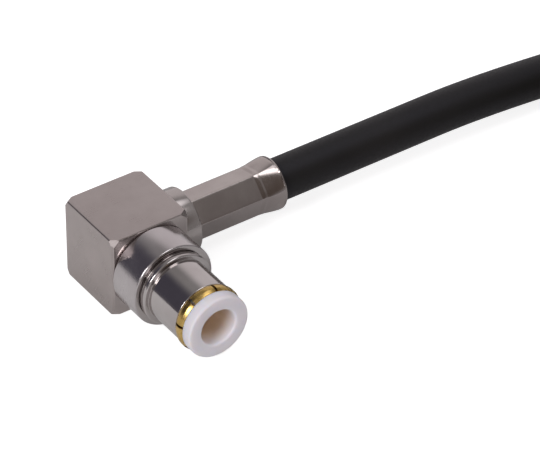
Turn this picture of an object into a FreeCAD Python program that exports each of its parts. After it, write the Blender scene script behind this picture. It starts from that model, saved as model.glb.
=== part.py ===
import FreeCAD, Part
import math
import os
import Sketcher

# Right-angle coaxial cable plug with a round snap-in nose, and its cable.
# Frame: +X is the way the cable leaves, -Y the way the nose points, +Z up.
# The origin is at the centre of the block's underside, below the point
# where the cable's axis and the nose's axis cross. Lengths are millimetres.
# A station is a distance from that crossing, along one of the two axes.

# Driving dimensions: name, value, what it is
SIZES = [
    ("block_width", 10.6, "block, along the cable axis"),
    ("block_depth", 10.3, "block, along the nose axis"),
    ("block_height", 11.0, "block, upright"),
    ("axis_height", 5.5, "height of both axes above the underside"),
    ("corner_turning", 6.9, "radius where the turned corner cuts meet the back and the front"),
    ("corner_cut", 0.9, "depth and width of those cuts, 45 degree cones"),
    ("upright_break", 0.3, "break on the four upright edges"),
    ("block_edge_break", 0.2, "break along the top and bottom edges"),
    ("chamber_radius", 3.3, "chamber through the block, along the nose axis"),
    ("nose_seat_radius", 4.1, "bore in the block that the nose is pressed into"),
    ("nose_seat_depth", 2.2, "depth of that bore"),
    ("cap_radius", 4.1, "back cap and its recess"),
    ("cap_thickness", 1.2, "thickness of the back cap"),
    ("cap_dimple", 0.45, "radius and depth of the dimple at the cap's centre"),
    ("cap_edge_break", 0.15, "break on the cap's outer edge"),
    ("stem_seat_radius", 2.9, "bore in the block that the crimp stem is pressed into"),
    ("stem_seat_depth", 1.5, "depth of that bore"),
    ("shoulder_overhang", 0.12, "how far the large round behind the nose passes the block's sides"),
    ("shoulder_end", 9.85, "station of its front edge"),
    ("shoulder_break", 0.16, "break on that edge"),
    ("groove_depth", 0.92, "fine groove in front of the shoulder, down from the shoulder's outside"),
    ("groove_width", 0.28, "width of that groove"),
    ("ring_height", 0.22, "stepped ring in front of the groove, up from the groove's bottom"),
    ("ring_end", 10.85, "station of its front edge"),
    ("ring_break", 0.18, "break on that edge"),
    ("nose_radius", 4.1, "plain barrel that enters the mating part"),
    ("nose_end", 16.35, "station of the barrel's front end"),
    ("nose_bore", 3.3, "radius of the nose's bore"),
    ("sleeve_start", 11.6, "station of the step that stops the spring sleeve"),
    ("sleeve_wall", 0.42, "wall of the spring sleeve"),
    ("bead_radius", 4.28, "outside of the bead on the spring fingers"),
    ("bead_length", 1.4, "length of the bead that shows"),
    ("bead_rise", 0.5, "length of its rise, at the back"),
    ("bead_fall", 0.42, "length of its fall, at the front"),
    ("finger_count", 8, "number of spring fingers"),
    ("finger_turn", 34.5, "turn of the first saw cut, degrees"),
    ("finger_slot", 0.34, "width of the saw cuts between fingers"),
    ("finger_length", 4.4, "length of the saw cuts"),
    ("insulator_front", 19.2, "station of the white insulator's front face"),
    ("insulator_radius", 4.1, "outside of its head"),
    ("insulator_rounding", 0.38, "rounding of its front edge"),
    ("insulator_bore", 2.32, "radius of the open bore in its front"),
    ("insulator_bore_depth", 3.9, "depth of that bore"),
    ("insulator_back", 10.9, "station of the back end of its shank"),
    ("contact_radius", 1.05, "centre contact"),
    ("contact_gap", 0.02, "gap between the contact and the insulators"),
    ("contact_collar", 1.5, "radius of the collar on the contact"),
    ("collar_length", 0.8, "length of that collar"),
    ("contact_tip", 15.0, "station of the contact's front end"),
    ("contact_rear", 1.05, "the contact's length behind the crossing"),
    ("socket_radius", 0.65, "bore in the contact's tip"),
    ("socket_depth", 3.6, "depth of that bore"),
    ("socket_slot", 0.22, "width of the saw cuts in the tip"),
    ("socket_slot_length", 2.8, "length of those saw cuts"),
    ("bead_start", 2.4, "station of the rear insulator's back face"),
    ("bead_end", 6.2, "station of the rear insulator's front face"),
    ("cap_disc", 0.7, "thickness of the insulating disc under the cap"),
    ("conductor_radius", 0.45, "centre conductor of the cable"),
    ("conductor_play", 0.03, "play of the conductor in the contact's slot"),
    ("conductor_end", 0.95, "the conductor's length past the crossing"),
    ("dielectric_radius", 1.475, "inner insulation of the cable"),
    ("dielectric_start", 3.4, "station where the insulation is cut off"),
    ("braid_wall", 0.22, "one of the two braids"),
    ("cable_radius", 2.7, "cable over its jacket"),
    ("jacket_start", 18.4, "station where the jacket is cut off"),
    ("stem_collar", 4.15, "radius of the round collar on the side of the block"),
    ("stem_collar_end", 8.1, "station of the collar's outer face"),
    ("stem_collar_break", 0.22, "break on the collar's edge"),
    ("stem_play", 0.03, "play of the insulation in the crimp stem"),
    ("stem_wall", 0.36, "wall of the crimp stem"),
    ("stem_end", 17.4, "station of the stem's free end"),
    ("barb_count", 4, "number of rings that grip the braid"),
    ("barb_height", 0.08, "height of those rings"),
    ("barb_length", 0.7, "length of their slopes"),
    ("ferrule_gap", 0.15, "gap between the collar and the ferrule"),
    ("crimp_flats", 5.41, "crimped hexagon across flats"),
    ("crimp_turn", 17.3, "turn of the hexagon about the cable, degrees"),
    ("crimp_end", 17.5, "station where the flats end"),
    ("die_ramp", 3.4, "length of the ramps that the die's end left"),
    ("die_clearance", 0.07, "how far the ramps run out past the mouth"),
    ("crimp_corner", 3.1, "radius over the hexagon's soft corners"),
    ("mouth_start", 17.2, "station where the ferrule begins to open out"),
    ("mouth_full", 20.3, "station where it has its full size"),
    ("ferrule_end", 20.95, "station of the ferrule's open end"),
    ("mouth_radius", 3.42, "outside of the ferrule at its open end"),
    ("mouth_rounding", 0.3, "rounding of that end"),
    ("ferrule_wall", 0.5, "wall of the ferrule at its open end"),
    ("level_end", 50.0, "station where the free cable begins to sink"),
    ("sink_end", 79.0, "station where it lies on the surface below"),
    ("coil_start", 95.0, "station where its coil begins"),
    ("coil_radius", 27.5, "radius of the coil's turns, at the cable's middle"),
    ("coil_pitch", 5.5, "height from one turn of the coil to the next"),
    ("coil_climb", 290.0, "where each turn climbs onto the last, degrees past the coil's start"),
    ("coil_end", 887.3, "where the cable ends, degrees past the coil's start"),
]

# Worked-out sizes: name, formula in the driving dimensions
WORKED = [
    ("half_width", "=Sizes.block_width / 2"),
    ("half_depth", "=Sizes.block_depth / 2"),
    ("back_face", "=-Sizes.block_depth / 2"),
    ("corner_past", "=Sizes.corner_turning + Sizes.corner_cut"),
    ("corner_inner", "=Sizes.block_depth / 2 - Sizes.corner_cut"),
    ("corner_outer", "=Sizes.block_depth / 2 + Sizes.corner_cut"),
    ("nose_back", "=Sizes.block_depth / 2 - Sizes.nose_seat_depth"),
    ("shoulder_radius", "=Sizes.block_width / 2 + Sizes.shoulder_overhang"),
    ("groove_radius", "=shoulder_radius - Sizes.groove_depth"),
    ("ring_radius", "=groove_radius + Sizes.ring_height"),
    ("groove_end", "=Sizes.shoulder_end + Sizes.groove_width"),
    ("sleeve_outside", "=Sizes.nose_bore + Sizes.sleeve_wall"),
    ("bead_low", "=Sizes.nose_end + Sizes.bead_rise"),
    ("bead_high", "=Sizes.nose_end + Sizes.bead_length - Sizes.bead_fall"),
    ("head_back", "=Sizes.nose_end + Sizes.bead_length"),
    ("finger_root", "=Sizes.nose_end + Sizes.bead_length - Sizes.finger_length"),
    ("finger_past", "=Sizes.nose_end + 2 * Sizes.bead_length"),
    ("finger_inside", "=Sizes.nose_bore / 2"),
    ("finger_outside", "=2 * Sizes.bead_radius"),
    ("bore_floor", "=Sizes.insulator_front - Sizes.insulator_bore_depth"),
    ("contact_hole", "=Sizes.contact_radius + Sizes.contact_gap"),
    ("collar_front", "=Sizes.bead_end + Sizes.collar_length"),
    ("contact_back", "=-Sizes.contact_rear"),
    ("socket_floor", "=Sizes.contact_tip - Sizes.socket_depth"),
    ("socket_slot_root", "=Sizes.contact_tip - Sizes.socket_slot_length"),
    ("socket_slot_past", "=Sizes.contact_tip + Sizes.contact_radius"),
    ("socket_slot_inside", "=Sizes.socket_radius / 3"),
    ("socket_slot_outside", "=2 * Sizes.contact_radius"),
    ("cross_high", "=Sizes.conductor_radius + Sizes.conductor_play"),
    ("cross_low", "=-Sizes.conductor_radius - Sizes.conductor_play"),
    ("cross_past", "=-2 * Sizes.contact_rear"),
    ("cap_inside", "=Sizes.block_depth / 2 - Sizes.cap_thickness"),
    ("cap_dimple_floor", "=Sizes.block_depth / 2 - Sizes.cap_dimple"),
    ("disc_inside", "=Sizes.block_depth / 2 - Sizes.cap_thickness - Sizes.cap_disc"),
    ("conductor_tip", "=-Sizes.conductor_end"),
    ("stem_back", "=Sizes.block_width / 2 - Sizes.stem_seat_depth"),
    ("stem_bore", "=Sizes.dielectric_radius + Sizes.stem_play"),
    ("stem_outside", "=Sizes.dielectric_radius + Sizes.stem_play + Sizes.stem_wall"),
    ("barb_top", "=stem_outside + Sizes.barb_height"),
    ("barb_step", "=(Sizes.stem_end - Sizes.stem_collar_end) / (Sizes.barb_count + 1)"),
    ("braid_start", "=Sizes.stem_collar_end + Sizes.ferrule_gap"),
    ("braid_middle", "=barb_top + Sizes.braid_wall"),
    ("braid_outside", "=barb_top + 2 * Sizes.braid_wall"),
    ("braid_low_middle", "=Sizes.dielectric_radius + Sizes.braid_wall"),
    ("braid_low_outside", "=Sizes.dielectric_radius + 2 * Sizes.braid_wall"),
    ("mouth_inside", "=Sizes.mouth_radius - Sizes.ferrule_wall"),
    ("mouth_throat", "=(Sizes.mouth_start + Sizes.mouth_full) / 2"),
    ("die_past", "=Sizes.crimp_end + Sizes.die_ramp"),
    ("past_radius", "=Sizes.mouth_radius + Sizes.die_clearance"),
]

doc = FreeCAD.newDocument("right_angle_plug")


def fill_sheet(name, rows):
    """One cell for each size, with its name as the cell's alias."""
    page = doc.addObject("Spreadsheet::Sheet", name)
    for number, row in enumerate(rows, 1):
        page.set("A%d" % number, row[-1] if len(row) == 3 else row[0])
        page.set("B%d" % number, str(row[1]))
        page.setAlias("B%d" % number, row[0])
    doc.recompute()
    return page


driving = fill_sheet("Sizes", SIZES)
barb_count = int(driving.get("barb_count"))
for barb in range(barb_count):
    start = "=Sizes.stem_collar_end + barb_step * %d" % (barb + 1)
    WORKED.append(("barb_%d_foot" % barb, start + " - Sizes.barb_length"))
    WORKED.append(("barb_%d_top" % barb, start))
worked = fill_sheet("Worked", WORKED)
DRIVING_NAMES = {row[0] for row in SIZES}


def size(name):
    """The value of a named size, driving or worked out."""
    page = driving if name in DRIVING_NAMES else worked
    return float(page.get(name))


def cell(name):
    """The same size, as an object's property refers to it."""
    return ("Sizes." if name in DRIVING_NAMES else "Worked.") + name


# A turned piece has its axis on its body's local Z. These turns lay that
# axis along the nose, along the cable or out of the block's back.
WAYS = {
    "nose": FreeCAD.Rotation(FreeCAD.Vector(1, 0, 0), 90),
    "cable": FreeCAD.Rotation(FreeCAD.Vector(0, 1, 0), 90),
    "back": FreeCAD.Rotation(FreeCAD.Vector(1, 0, 0), -90),
}
PIECES = []


def place_on_axis(item, way, turn=0.0):
    """Stand an object at the crossing of the axes, turned about its own axis."""
    spin = FreeCAD.Rotation(FreeCAD.Vector(0, 0, 1), turn)
    item.Placement = FreeCAD.Placement(
        FreeCAD.Vector(0, 0, size("axis_height")), WAYS[way].multiply(spin))
    item.setExpression("Placement.Base.z", "Sizes.axis_height")


def new_body(label, way=None, turn=0.0):
    """An empty body, in the block's frame or on one of the axes."""
    body = doc.addObject("PartDesign::Body", label)
    body.Label = label
    if way:
        place_on_axis(body, way, turn)
    return body


def origin_item(body, role):
    """One of the body's own origin planes or axes."""
    return next(item for item in body.Origin.OriginFeatures if item.Role == role)


def new_sketch(body, name, role):
    """A sketch on one of the body's origin planes."""
    sketch = body.newObject("Sketcher::SketchObject", name)
    sketch.AttachmentSupport = (origin_item(body, role), [""])
    sketch.MapMode = "FlatFace"
    return sketch


def bind(sketch, kind, index, name, axis):
    """Hold one coordinate of a line's start point at a named size."""
    if name is None:
        sketch.addConstraint(Sketcher.Constraint("PointOnObject", index, 1, axis))
        return
    constraint = Sketcher.Constraint(kind, -1, 1, index, 1, size(name))
    number = sketch.addConstraint(constraint)
    sketch.setExpression("Constraints[%d]" % number, cell(name))


def outline(sketch, corners):
    """Closed outline through corners given as names of sizes, None for zero."""
    points = [FreeCAD.Vector(size(across) if across else 0, size(along) if along else 0, 0)
              for across, along in corners]
    count = len(points)
    for index in range(count):
        line = Part.LineSegment(points[index], points[(index + 1) % count])
        sketch.addGeometry(line, False)
    for index in range(count):
        following = (index + 1) % count
        sketch.addConstraint(Sketcher.Constraint("Coincident", index, 2, following, 1))
    for index, (across, along) in enumerate(corners):
        bind(sketch, "DistanceX", index, across, -2)
        bind(sketch, "DistanceY", index, along, -1)


def turned(label, way, corners, turn=0.0):
    """A turned piece, from (radius, station) corners of its half section."""
    body = new_body(label, way, turn)
    sketch = new_sketch(body, label + "_section", "XZ_Plane")
    outline(sketch, corners)
    lathe = body.newObject("PartDesign::Revolution", label + "_turning")
    lathe.Profile = sketch
    lathe.ReferenceAxis = (sketch, ["V_Axis"])
    lathe.Angle = 360
    doc.recompute()
    PIECES.append(body)
    return body


def break_edge(body, radius, station, rounding, kind="Fillet"):
    """Round or chamfer the ring edge at a named radius and station."""
    base = body.Tip
    names = []
    for number, edge in enumerate(base.Shape.Edges, 1):
        if not hasattr(edge.Curve, "Radius"):
            continue
        middle = edge.Curve.Center
        if abs(edge.Curve.Radius - size(radius)) + abs(middle.z - size(station)) < 1e-4:
            names.append("Edge%d" % number)
    feature = body.newObject("PartDesign::" + kind, rounding + "_edge")
    feature.Base = (base, names)
    feature.setExpression("Radius" if kind == "Fillet" else "Size", cell(rounding))
    doc.recompute()


def saw_cuts(body, name, corners, width, count):
    """Equal cuts through a piece's wall, spaced around its axis."""
    sketch = new_sketch(body, name + "_section", "XZ_Plane")
    outline(sketch, corners)
    cut = body.newObject("PartDesign::Pocket", name)
    cut.Profile = sketch
    cut.Midplane = True
    cut.setExpression("Length", cell(width))
    doc.recompute()
    ring = body.newObject("PartDesign::PolarPattern", name + "_around")
    ring.Originals = [cut]
    ring.Axis = (origin_item(body, "Z_Axis"), [""])
    ring.Angle = 360
    ring.Occurrences = count
    body.Tip = ring
    doc.recompute()


# Block: milled square, its corners turned off, and bored from three sides

block = new_body("body_block")
plan = new_sketch(block, "block_plan", "XY_Plane")
plan_left = size("block_width") / -2
plan_front = size("block_depth") / -2
plan_corners = [(plan_left, plan_front), (-plan_left, plan_front),
                (-plan_left, -plan_front), (plan_left, -plan_front)]
for index in range(4):
    corner_a = FreeCAD.Vector(*plan_corners[index], 0)
    corner_b = FreeCAD.Vector(*plan_corners[(index + 1) % 4], 0)
    plan.addGeometry(Part.LineSegment(corner_a, corner_b), False)
for index in range(4):
    plan.addConstraint(Sketcher.Constraint("Coincident", index, 2, (index + 1) % 4, 1))
for index, level in ((0, "Horizontal"), (1, "Vertical"), (2, "Horizontal"), (3, "Vertical")):
    plan.addConstraint(Sketcher.Constraint(level, index))
plan.addConstraint(Sketcher.Constraint("Symmetric", 0, 1, 1, 2, -1, 1))
across = plan.addConstraint(Sketcher.Constraint("DistanceX", 0, 1, 0, 2, size("block_width")))
plan.setExpression("Constraints[%d]" % across, cell("block_width"))
along = plan.addConstraint(Sketcher.Constraint("DistanceY", 1, 1, 1, 2, size("block_depth")))
plan.setExpression("Constraints[%d]" % along, cell("block_depth"))
pad = block.newObject("PartDesign::Pad", "block_pad")
pad.Profile = plan
pad.setExpression("Length", cell("block_height"))
doc.recompute()


def upright_edges(shape):
    """The four upright edges of the block."""
    return ["Edge%d" % number for number, edge in enumerate(shape.Edges, 1)
            if abs(edge.Vertexes[0].Z - edge.Vertexes[1].Z) > size("block_height") / 2]


def level_edges(shape):
    """Edges that run round the top and the bottom face."""
    names = []
    for number, edge in enumerate(shape.Edges, 1):
        heights = [vertex.Point.z for vertex in edge.Vertexes]
        at_limit = heights[0] < 1e-4 or heights[0] > size("block_height") - 1e-4
        if max(heights) - min(heights) < 1e-4 and at_limit:
            names.append("Edge%d" % number)
    return names


upright_break = block.newObject("PartDesign::Chamfer", "upright_break")
upright_break.Base = (pad, upright_edges(pad.Shape))
upright_break.setExpression("Size", cell("upright_break"))
doc.recompute()
level_break = block.newObject("PartDesign::Chamfer", "level_break")
level_break.Base = (upright_break, level_edges(upright_break.Shape))
level_break.setExpression("Size", cell("block_edge_break"))
doc.recompute()

# Back and front are faced on a lathe, and a cone about the nose's axis takes
# off the corners of each

def corner_cut(name, turn):
    """A cone that cuts the corners round one face of the block."""
    sketch = new_sketch(block, name + "_section", "XY_Plane")
    sketch.AttachmentOffset = FreeCAD.Placement(
        FreeCAD.Vector(), FreeCAD.Rotation(FreeCAD.Vector(0, 0, 1), turn))
    sketch.setExpression("AttachmentOffset.Base.z", cell("axis_height"))
    outline(sketch, [
        ("corner_turning", "half_depth"),
        ("corner_past", "corner_inner"),
        ("corner_past", "corner_outer"),
        ("corner_turning", "corner_outer"),
    ])
    groove = block.newObject("PartDesign::Groove", name)
    groove.Profile = sketch
    groove.ReferenceAxis = (sketch, ["V_Axis"])
    groove.Angle = 360
    doc.recompute()


corner_cut("back_corners", 0)
corner_cut("front_corners", 180)


def bore(name, role, face, radius, depth, reverse):
    """A round bore at the axis height, cut into the block from one of its faces."""
    sketch = new_sketch(block, name + "_circle", role)
    sketch.AttachmentOffset = FreeCAD.Placement(
        FreeCAD.Vector(0, 0, size(face)), FreeCAD.Rotation())
    sketch.setExpression("AttachmentOffset.Base.z", cell(face))
    middle = FreeCAD.Vector(0, size("axis_height"), 0)
    circle = Part.Circle(middle, FreeCAD.Vector(0, 0, 1), size(radius))
    sketch.addGeometry(circle, False)
    wide = sketch.addConstraint(Sketcher.Constraint("Radius", 0, size(radius)))
    sketch.setExpression("Constraints[%d]" % wide, cell(radius))
    rise = Sketcher.Constraint("DistanceY", -1, 1, 0, 3, size("axis_height"))
    high = sketch.addConstraint(rise)
    sketch.setExpression("Constraints[%d]" % high, cell("axis_height"))
    sketch.addConstraint(Sketcher.Constraint("PointOnObject", 0, 3, -2))
    pocket = block.newObject("PartDesign::Pocket", name)
    pocket.Profile = sketch
    pocket.Reversed = reverse
    pocket.setExpression("Length", cell(depth))
    doc.recompute()


bore("chamber", "XZ_Plane", "half_depth", "chamber_radius", "block_depth", False)
bore("nose_seat", "XZ_Plane", "half_depth", "nose_seat_radius", "nose_seat_depth", False)
bore("cap_seat", "XZ_Plane", "back_face", "cap_radius", "cap_thickness", True)
bore("cable_way", "YZ_Plane", "half_width", "stem_bore", "half_width", False)
bore("stem_seat", "YZ_Plane", "half_width", "stem_seat_radius", "stem_seat_depth", False)
PIECES.append(block)

# Nose: one turned piece, pressed into the front of the block. In front of
# its large shoulder come a fine groove and a stepped ring.

nose = turned("nose_barrel", "nose", [
    ("nose_bore", "nose_back"),
    ("nose_seat_radius", "nose_back"),
    ("nose_seat_radius", "half_depth"),
    ("shoulder_radius", "half_depth"),
    ("shoulder_radius", "shoulder_end"),
    ("groove_radius", "shoulder_end"),
    ("groove_radius", "groove_end"),
    ("ring_radius", "groove_end"),
    ("ring_radius", "ring_end"),
    ("nose_radius", "ring_end"),
    ("nose_radius", "nose_end"),
    ("sleeve_outside", "nose_end"),
    ("sleeve_outside", "sleeve_start"),
    ("nose_bore", "sleeve_start"),
])
break_edge(nose, "shoulder_radius", "shoulder_end", "shoulder_break", "Chamfer")
break_edge(nose, "ring_radius", "ring_end", "ring_break", "Chamfer")

# Spring sleeve: a thin tube in the nose, sawn into fingers, whose beads
# stand out between the nose and the white insulator's head

sleeve = turned("spring_sleeve", "nose", [
    ("nose_bore", "sleeve_start"),
    ("sleeve_outside", "sleeve_start"),
    ("sleeve_outside", "nose_end"),
    ("nose_radius", "nose_end"),
    ("bead_radius", "bead_low"),
    ("bead_radius", "bead_high"),
    ("insulator_radius", "head_back"),
    ("nose_bore", "head_back"),
], size("finger_turn"))
saw_cuts(sleeve, "finger_cuts", [
    ("finger_inside", "finger_root"),
    ("finger_outside", "finger_root"),
    ("finger_outside", "finger_past"),
    ("finger_inside", "finger_past"),
], "finger_slot", int(size("finger_count")))

# White front insulator: its shank fills the nose, its head covers the fingers

insulator = turned("front_insulator", "nose", [
    ("contact_hole", "insulator_back"),
    ("nose_bore", "insulator_back"),
    ("nose_bore", "head_back"),
    ("insulator_radius", "head_back"),
    ("insulator_radius", "insulator_front"),
    ("insulator_bore", "insulator_front"),
    ("insulator_bore", "bore_floor"),
    ("contact_hole", "bore_floor"),
])
break_edge(insulator, "insulator_radius", "insulator_front", "insulator_rounding")

# Centre contact: a sawn socket in front, a collar that the insulators hold,
# and a cross slot at the back for the cable's conductor

contact = turned("centre_contact", "nose", [
    (None, "contact_back"),
    ("contact_radius", "contact_back"),
    ("contact_radius", "bead_end"),
    ("contact_collar", "bead_end"),
    ("contact_collar", "collar_front"),
    ("contact_radius", "collar_front"),
    ("contact_radius", "contact_tip"),
    ("socket_radius", "contact_tip"),
    ("socket_radius", "socket_floor"),
    (None, "socket_floor"),
])
cross = new_sketch(contact, "cross_slot_section", "YZ_Plane")
outline(cross, [
    ("cross_low", "cross_past"),
    ("cross_high", "cross_past"),
    ("cross_high", "conductor_radius"),
    ("cross_low", "conductor_radius"),
])
cross_slot = contact.newObject("PartDesign::Pocket", "cross_slot")
cross_slot.Profile = cross
cross_slot.Midplane = True
cross_slot.setExpression("Length", "4 * Sizes.contact_radius")
doc.recompute()
saw_cuts(contact, "socket_cuts", [
    ("socket_slot_inside", "socket_slot_root"),
    ("socket_slot_outside", "socket_slot_root"),
    ("socket_slot_outside", "socket_slot_past"),
    ("socket_slot_inside", "socket_slot_past"),
], "socket_slot", 4)

# Rear insulator, back cap and the disc that insulates the cap

turned("rear_insulator", "nose", [
    ("contact_hole", "bead_start"),
    ("nose_bore", "bead_start"),
    ("nose_bore", "bead_end"),
    ("contact_hole", "bead_end"),
])
cap = turned("back_cap", "back", [
    (None, "cap_inside"),
    ("cap_radius", "cap_inside"),
    ("cap_radius", "half_depth"),
    ("cap_dimple", "half_depth"),
    (None, "cap_dimple_floor"),
])
break_edge(cap, "cap_radius", "half_depth", "cap_edge_break", "Chamfer")
turned("cap_insulator", "back", [
    (None, "disc_inside"),
    ("chamber_radius", "disc_inside"),
    ("chamber_radius", "cap_inside"),
    (None, "cap_inside"),
])

# Crimp stem: pressed into the side of the block, with the round collar that
# shows there and a thin barbed tube that goes under the cable's braid

stem_corners = [
    ("stem_bore", "stem_back"),
    ("stem_seat_radius", "stem_back"),
    ("stem_seat_radius", "half_width"),
    ("stem_collar", "half_width"),
    ("stem_collar", "stem_collar_end"),
    ("stem_outside", "stem_collar_end"),
]
for barb in range(barb_count):
    stem_corners += [
        ("stem_outside", "barb_%d_foot" % barb),
        ("barb_top", "barb_%d_top" % barb),
        ("stem_outside", "barb_%d_top" % barb),
    ]
stem_corners += [("stem_outside", "stem_end"), ("stem_bore", "stem_end")]
stem = turned("crimp_stem", "cable", stem_corners)
break_edge(stem, "stem_collar", "stem_collar_end", "stem_collar_break", "Chamfer")

# Layers of the stripped cable. The braids are spread over the stem and come
# down onto the insulation where the jacket begins.

turned("cable_inner_braid", "cable", [
    ("barb_top", "braid_start"),
    ("braid_middle", "braid_start"),
    ("braid_middle", "stem_end"),
    ("braid_low_middle", "jacket_start"),
    ("braid_low_middle", "ferrule_end"),
    ("dielectric_radius", "ferrule_end"),
    ("dielectric_radius", "jacket_start"),
    ("barb_top", "stem_end"),
])
turned("cable_outer_braid", "cable", [
    ("braid_middle", "braid_start"),
    ("braid_outside", "braid_start"),
    ("braid_outside", "stem_end"),
    ("braid_low_outside", "jacket_start"),
    ("braid_low_outside", "ferrule_end"),
    ("braid_low_middle", "ferrule_end"),
    ("braid_low_middle", "jacket_start"),
    ("braid_middle", "stem_end"),
])
turned("cable_jacket_end", "cable", [
    ("braid_low_outside", "jacket_start"),
    ("cable_radius", "jacket_start"),
    ("cable_radius", "ferrule_end"),
    ("braid_low_outside", "ferrule_end"),
])
turned("cable_dielectric", "cable", [
    ("conductor_radius", "dielectric_start"),
    ("dielectric_radius", "dielectric_start"),
    ("dielectric_radius", "ferrule_end"),
    ("conductor_radius", "ferrule_end"),
])
turned("cable_conductor", "cable", [
    (None, "conductor_tip"),
    ("conductor_radius", "conductor_tip"),
    ("conductor_radius", "ferrule_end"),
    (None, "ferrule_end"),
])

# Solder: fills the contact's cross slot around and behind the conductor

solder_rod = doc.addObject("Part::Cylinder", "solder_rod")
solder_rod.setExpression("Radius", cell("contact_radius"))
solder_rod.setExpression("Height", cell("cross_high"))
solder_rod.setExpression("Placement.Base.y", cell("contact_rear"))
solder_rod.setExpression("Placement.Base.z", cell("axis_height"))
solder_rod.Placement.Rotation = WAYS["nose"]
solder_slot = doc.addObject("Part::Box", "solder_slot")
solder_slot.setExpression("Length", "4 * Sizes.contact_radius")
solder_slot.setExpression("Width", "4 * Sizes.contact_rear")
solder_slot.setExpression("Height", "2 * Worked.cross_high")
solder_slot.setExpression("Placement.Base.x", "-2 * Sizes.contact_radius")
solder_slot.setExpression("Placement.Base.y", "-2 * Sizes.contact_rear")
solder_slot.setExpression("Placement.Base.z", "Sizes.axis_height - Worked.cross_high")
solder_fill = doc.addObject("Part::MultiCommon", "solder_fill")
solder_fill.Shapes = [solder_rod, solder_slot]
solder_wire = doc.addObject("Part::Cylinder", "solder_wire")
solder_wire.setExpression("Radius", cell("conductor_radius"))
solder_wire.setExpression("Height", "4 * Sizes.contact_radius")
solder_wire.setExpression("Placement.Base.x", "-2 * Sizes.contact_radius")
solder_wire.setExpression("Placement.Base.z", cell("axis_height"))
solder_wire.Placement.Rotation = WAYS["cable"]
solder = doc.addObject("Part::Cut", "solder_joint")
solder.Base = solder_fill
solder.Tool = solder_wire
doc.recompute()
PIECES.append(solder)

# Crimp ferrule: a tube that opens out at its end. The die pressed it to a
# hexagon, and its end left ramps that run out into the round mouth.

blank = turned("ferrule_blank", "cable", [
    ("braid_outside", "braid_start"),
    ("crimp_corner", "braid_start"),
    ("crimp_corner", "mouth_start"),
    ("mouth_radius", "mouth_full"),
    ("mouth_radius", "ferrule_end"),
    ("mouth_inside", "ferrule_end"),
    ("cable_radius", "mouth_throat"),
    ("cable_radius", "jacket_start"),
    ("braid_outside", "stem_end"),
])
PIECES.remove(blank)
break_edge(blank, "mouth_radius", "ferrule_end", "mouth_rounding")

die_flats = doc.addObject("Part::Prism", "die_flats")
die_flats.Polygon = 6
die_flats.setExpression("Circumradius", "Sizes.crimp_flats / sqrt(3)")
die_flats.setExpression("Height", cell("crimp_end"))
ramp_foot = doc.addObject("Part::RegularPolygon", "ramp_foot")
ramp_foot.Polygon = 6
ramp_foot.setExpression("Circumradius", "Sizes.crimp_flats / sqrt(3)")
ramp_foot.setExpression("Placement.Base.z", cell("crimp_end"))
ramp_head = doc.addObject("Part::RegularPolygon", "ramp_head")
ramp_head.Polygon = 6
ramp_head.setExpression("Circumradius", "2 * Worked.past_radius / sqrt(3)")
ramp_head.setExpression("Placement.Base.z", cell("die_past"))
die_ramps = doc.addObject("Part::Loft", "die_ramps")
die_ramps.Sections = [ramp_foot, ramp_head]
die_ramps.Solid = True
die_ramps.Ruled = True
past_die = doc.addObject("Part::Cylinder", "past_die")
past_die.setExpression("Radius", cell("past_radius"))
past_die.setExpression("Height", cell("ferrule_end"))
past_die.setExpression("Placement.Base.z", cell("die_past"))
die_form = doc.addObject("Part::MultiFuse", "die_form")
die_form.Shapes = [die_flats, die_ramps, past_die]
place_on_axis(die_form, "cable", size("crimp_turn"))
ferrule = doc.addObject("Part::MultiCommon", "crimp_ferrule")
ferrule.Shapes = [blank, die_form]
doc.recompute()
PIECES.append(ferrule)

# The free cable: a tube from the ferrule to the coil, on straight runs that
# are joined by arcs, with the axis sinking to the surface below

# Its points: how far along the cable's way, and the height of its middle
ROUTE = [
    ("ferrule_end", "axis_height"),
    ("level_end", "axis_height"),
    ("sink_end", "cable_radius"),
    ("coil_start", "cable_radius"),
]
ARC_SHARE = 0.45


def route_wire(points):
    """Straight runs joined by tangent arcs, as large as the runs allow."""
    edges = []
    start = points[0]
    for before, corner, after in zip(points, points[1:], points[2:]):
        back = (before - corner)
        ahead = (after - corner)
        shorter = min(back.Length, ahead.Length)
        back.normalize()
        ahead.normalize()
        reach = ARC_SHARE * shorter
        turn = math.pi - back.getAngle(ahead)
        print("cable arc radius %.0f mm, turn %.1f degrees"
              % (reach / math.tan(turn / 2), math.degrees(turn)))
        enter = corner + back * reach
        leave = corner + ahead * reach
        inward = back + ahead
        inward.normalize()
        radius = reach / math.tan(turn / 2)
        sagitta = corner + inward * (math.hypot(radius, reach) - radius)
        edges.append(Part.LineSegment(start, enter).toShape())
        edges.append(Part.Arc(enter, sagitta, leave).toShape())
        start = leave
    edges.append(Part.LineSegment(start, points[-1]).toShape())
    return Part.Wire(edges)


lead_points = [FreeCAD.Vector(size(along), 0, size(height)) for along, height in ROUTE]
lead_path = route_wire(lead_points)
lead_section = Part.Wire(Part.Circle(lead_points[0], FreeCAD.Vector(1, 0, 0),
                                     size("cable_radius")).toShape())
lead = doc.addObject("Part::Feature", "cable_lead")
lead.Shape = lead_path.makePipeShell([lead_section], True, True)
lead_volume = math.pi * size("cable_radius") ** 2 * lead_path.Length
print("cable lead %.1f mm long, volume %.1f of %.1f mm3"
      % (lead_path.Length, lead.Shape.Volume, lead_volume))
PIECES.append(lead)

# The coil: turns that lie on each other. One solid has their outer shape,
# with a gap below the second turn where the cable comes in.

TURN = 360
QUARTER = 90


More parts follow.
